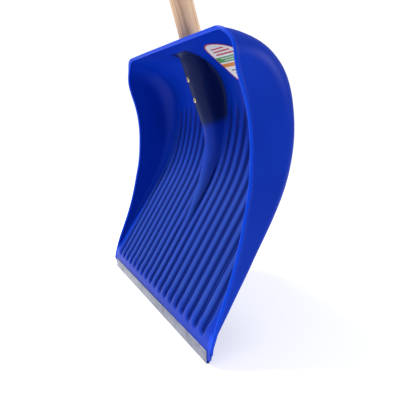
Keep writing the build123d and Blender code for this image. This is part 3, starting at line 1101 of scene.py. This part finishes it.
@dataclass
class Label:
    """The round sticker on the upper inner face."""

    scoop: Scoop
    radius: float = 41.5
    shift: tuple[float, float] = (-18.5, 10.0)
    thickness: float = 0.3
    tilt: float = math.radians(47.0)
    lift: float = 0.06
    search_from: float = 310.0

    def build(self) -> bpy.types.Object:
        """A disc bent to the face.

        A disc point (a, b) in radii goes to x = centre + a radius, and to the face line at
        the chord length where the line's projection on the tilted plane is b radius.
        """
        low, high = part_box("label")
        middle = (low + high) / 2 / MM
        s = np.linspace(self.scoop.length_at(self.search_from), self.scoop.face.length, 600)
        line = self.scoop.face.point(s)[:, :2]
        up = np.array([-math.sin(self.tilt), math.cos(self.tilt)])
        height = (line - [middle.y, middle.z]) @ up
        centre = self.shift[1] + 0.5 * (self._edge(low, up, middle) + self._edge(high, up, middle))
        centre_x = middle.x + self.shift[0]
        rings = np.concatenate([[0.0], np.linspace(0.08, 0.97, 16), [0.99, 1.0]])
        turn = np.linspace(0.0, 2 * np.pi, 97)[:-1]
        a = rings[:, None] * np.cos(turn)[None]
        b = rings[:, None] * np.sin(turn)[None]
        place = np.interp(b * self.radius + centre, height, s)
        yz, out = self.scoop.face.point(place)[..., :2], self.scoop.face.outward(place)
        layers = []
        for proud in (self.lift, self.lift + self.thickness):
            grown = proud - (rings[:, None] > 0.995) * (0.08 if proud > 0.2 else 0.0)
            layers.append(np.stack([centre_x + a * self.radius, yz[..., 0] - out[..., 0] * grown,
                                    yz[..., 1] - out[..., 1] * grown], -1))
        points = np.concatenate(layers, axis=0)
        index = np.arange(points.shape[0] * points.shape[1]).reshape(points.shape[:2])
        count = len(rings)
        order = np.vstack([index[:count], index[count:][::-1]])
        order = np.hstack([order, order[:, :1]])
        uv = np.stack([np.tile(a, (2, 1)), np.tile(b, (2, 1))], -1).reshape(-1, 2)
        return make_piece("round_label", points.reshape(-1, 3), grid_faces(order), uv)

    @staticmethod
    def _edge(corner: Vector, up: np.ndarray, middle: Vector) -> float:
        """Height along the tilted plane of a corner of the label's box."""
        return float((corner.y / MM - middle.y) * up[0] + (corner.z / MM - middle.z) * up[1])

    def dress(self, piece: bpy.types.Object) -> None:
        """Printed paper, standing for the CAD label."""
        finish_piece(piece, Slot.PAPER, PrintedPaper().material(), "label")


@dataclass
class Screw:
    """One countersunk cross-recess screw through the socket's front."""

    scoop: Scoop
    node: str
    distance: float
    head: float = 4.3
    shank: float = 2.0
    length: float = 25.0
    proud: float = 0.5
    crown: float = 0.4
    recess: float = 2.5
    slot_half: float = 0.55
    recess_depth: float = 1.5

    def build(self) -> bpy.types.Object:
        """A half outline carried round the screw's axis, with a cross pressed into its head.

        The head's face is crown (1 - (r / head)^2) high. Inside the recess's radius a point is
        lowered where it is within half a slot of either line of the cross.
        """
        face = np.linspace(0.0, self.head, 40)
        top = np.stack([face, self.crown * (1.0 - (face / self.head) ** 2)], -1)
        cone = self.head - self.shank
        lower = np.array([
            (self.head, -0.5), (self.shank, -0.5 - cone), (self.shank, 4.0 - self.length),
            (0.3, -self.length), (0.0, -self.length),
        ])
        points, faces = turned(np.concatenate([top, lower]), 128)
        x, y, z = points.T
        near = np.minimum(np.abs(x), np.abs(y))
        cross = smoothstep((self.slot_half + 0.15 - near) / 0.3)
        inside = smoothstep((self.recess - np.hypot(x, y)) / 0.5) * (z >= 0.0)
        points[:, 2] = z - self.recess_depth * cross * inside
        return make_piece(self.node.replace("screw", "plated_screw"), self._placed(points), faces)

    def _placed(self, points: np.ndarray) -> np.ndarray:
        """Points about Z carried to the socket's front, where Z points out of the wood."""
        pole, up = self.scoop.pole, self.distance + self.scoop.socket_floor
        reach = self.scoop.socket_low + self.scoop.socket_flare * up + self.proud
        y, z = pole.point(self.distance)
        out = points[:, 2] + reach
        c, s = math.cos(pole.lean), math.sin(pole.lean)
        return np.stack([points[:, 0], y - out * c - points[:, 1] * s, z - out * s + points[:, 1] * c], -1)

    def dress(self, piece: bpy.types.Object) -> None:
        """Yellow zinc, standing for one CAD screw."""
        finish_piece(piece, Slot.SCREW, PassivatedScrew().material(), self.node)


# ---------------------------------------------------------------- the studio
@dataclass
class Studio:
    """Pale floor, soft lights and the camera."""

    azimuth: float = 64.574
    elevation: float = 10.38
    eye: tuple[float, float, float] = (0.67916, -0.2338, 0.3065)
    lens: float = 40.5
    floor: tuple = colour(250, 250, 252)
    surround: float = 0.36

    def camera(self) -> None:
        """A level camera at the eye point, looking along its azimuth and elevation."""
        data = bpy.data.cameras.new("camera")
        data.lens = self.lens
        data.sensor_width = 36.0
        data.clip_end = 50.0
        eye = bpy.data.objects.new("camera", data)
        a, e = math.radians(self.azimuth), math.radians(self.elevation)
        ahead = Vector((-math.sin(a) * math.cos(e), math.cos(a) * math.cos(e), -math.sin(e)))
        right = Vector((math.cos(a), math.sin(a), 0.0))
        up = right.cross(ahead)
        turn = Matrix((right, up, -ahead)).transposed()
        eye.matrix_world = Matrix.Translation(self.eye) @ turn.to_4x4()
        bpy.context.scene.collection.objects.link(eye)
        bpy.context.scene.camera = eye

    def light(self, name: str, place: tuple, towards: tuple, size: float, power: float) -> None:
        """One square soft light.

        Args:
            name: its name.
            place: where it stands, in metres.
            towards: the point that it faces.
            size: its side in metres.
            power: watts.
        """
        data = bpy.data.lights.new(name, "AREA")
        data.size, data.energy = size, power
        lamp = bpy.data.objects.new(name, data)
        lamp.location = place
        lamp.rotation_euler = (Vector(towards) - Vector(place)).to_track_quat("-Z", "Y").to_euler()
        bpy.context.scene.collection.objects.link(lamp)

    def ground(self) -> None:
        """A wide pale floor that is not part of the shovel."""
        side = np.linspace(-1500.0, 1500.0, 9)
        x, y = np.meshgrid(side, side)
        points = np.stack([x, y, 0.0 * x], -1).reshape(-1, 3)
        piece = make_piece("studio_floor", points, grid_faces(np.arange(81).reshape(9, 9)))
        glow = {"Emission Color": (1.0, 1.0, 1.0, 1.0), "Emission Strength": 0.4}
        s = Shader("studio_floor", {"Specular IOR Level": 0.1, **glow})
        mottle = s.noise(s.coordinates(), 3.0)
        s.feed("Base Color", s.blend(mottle * 0.1, self.floor, colour(244, 245, 248)))
        s.feed("Roughness", mottle * 0.05 + 0.85)
        piece.data.materials.append(s.material)

    def build(self) -> None:
        """Camera, lights, floor and an even pale surround."""
        self.camera()
        self.ground()
        self.light("key", (-1.0, -1.0, 2.1), (0.0, 0.05, 0.25), 0.8, 58.0)
        self.light("side", (1.2, 1.6, 1.3), (0.1, 0.1, 0.25), 0.8, 16.0)
        self.light("top", (0.5, 0.4, 2.0), (0.0, 0.1, 0.3), 0.5, 5.0)
        world = bpy.data.worlds.new("surround")
        world.use_nodes = True
        back = world.node_tree.nodes["Background"]
        back.inputs[0].default_value = (0.95, 0.97, 1.0, 1.0)
        back.inputs[1].default_value = self.surround
        path = world.node_tree.nodes.new("ShaderNodeLightPath")
        seen = world.node_tree.nodes.new("ShaderNodeMapRange")
        seen.inputs[3].default_value = self.surround
        seen.inputs[4].default_value = 1.1
        world.node_tree.links.new(path.outputs["Is Camera Ray"], seen.inputs[0])
        world.node_tree.links.new(seen.outputs[0], back.inputs[1])
        bpy.context.scene.world = world
        bpy.context.scene.view_settings.view_transform = "Standard"


def main() -> None:
    """Build and dress every piece around the frame."""
    logging.basicConfig(level=logging.INFO, format="%(name)s %(message)s")
    Studio().build()
    line = PoleLine()
    scoop = Scoop(line)
    screws = [Screw(scoop, "screw_lower", 41.0), Screw(scoop, "screw_upper", 75.0)]
    for part in (scoop, WearStrip(), Pole(line), Label(scoop), *screws):
        part.dress(part.build())


if __name__ == "__main__":
    main()
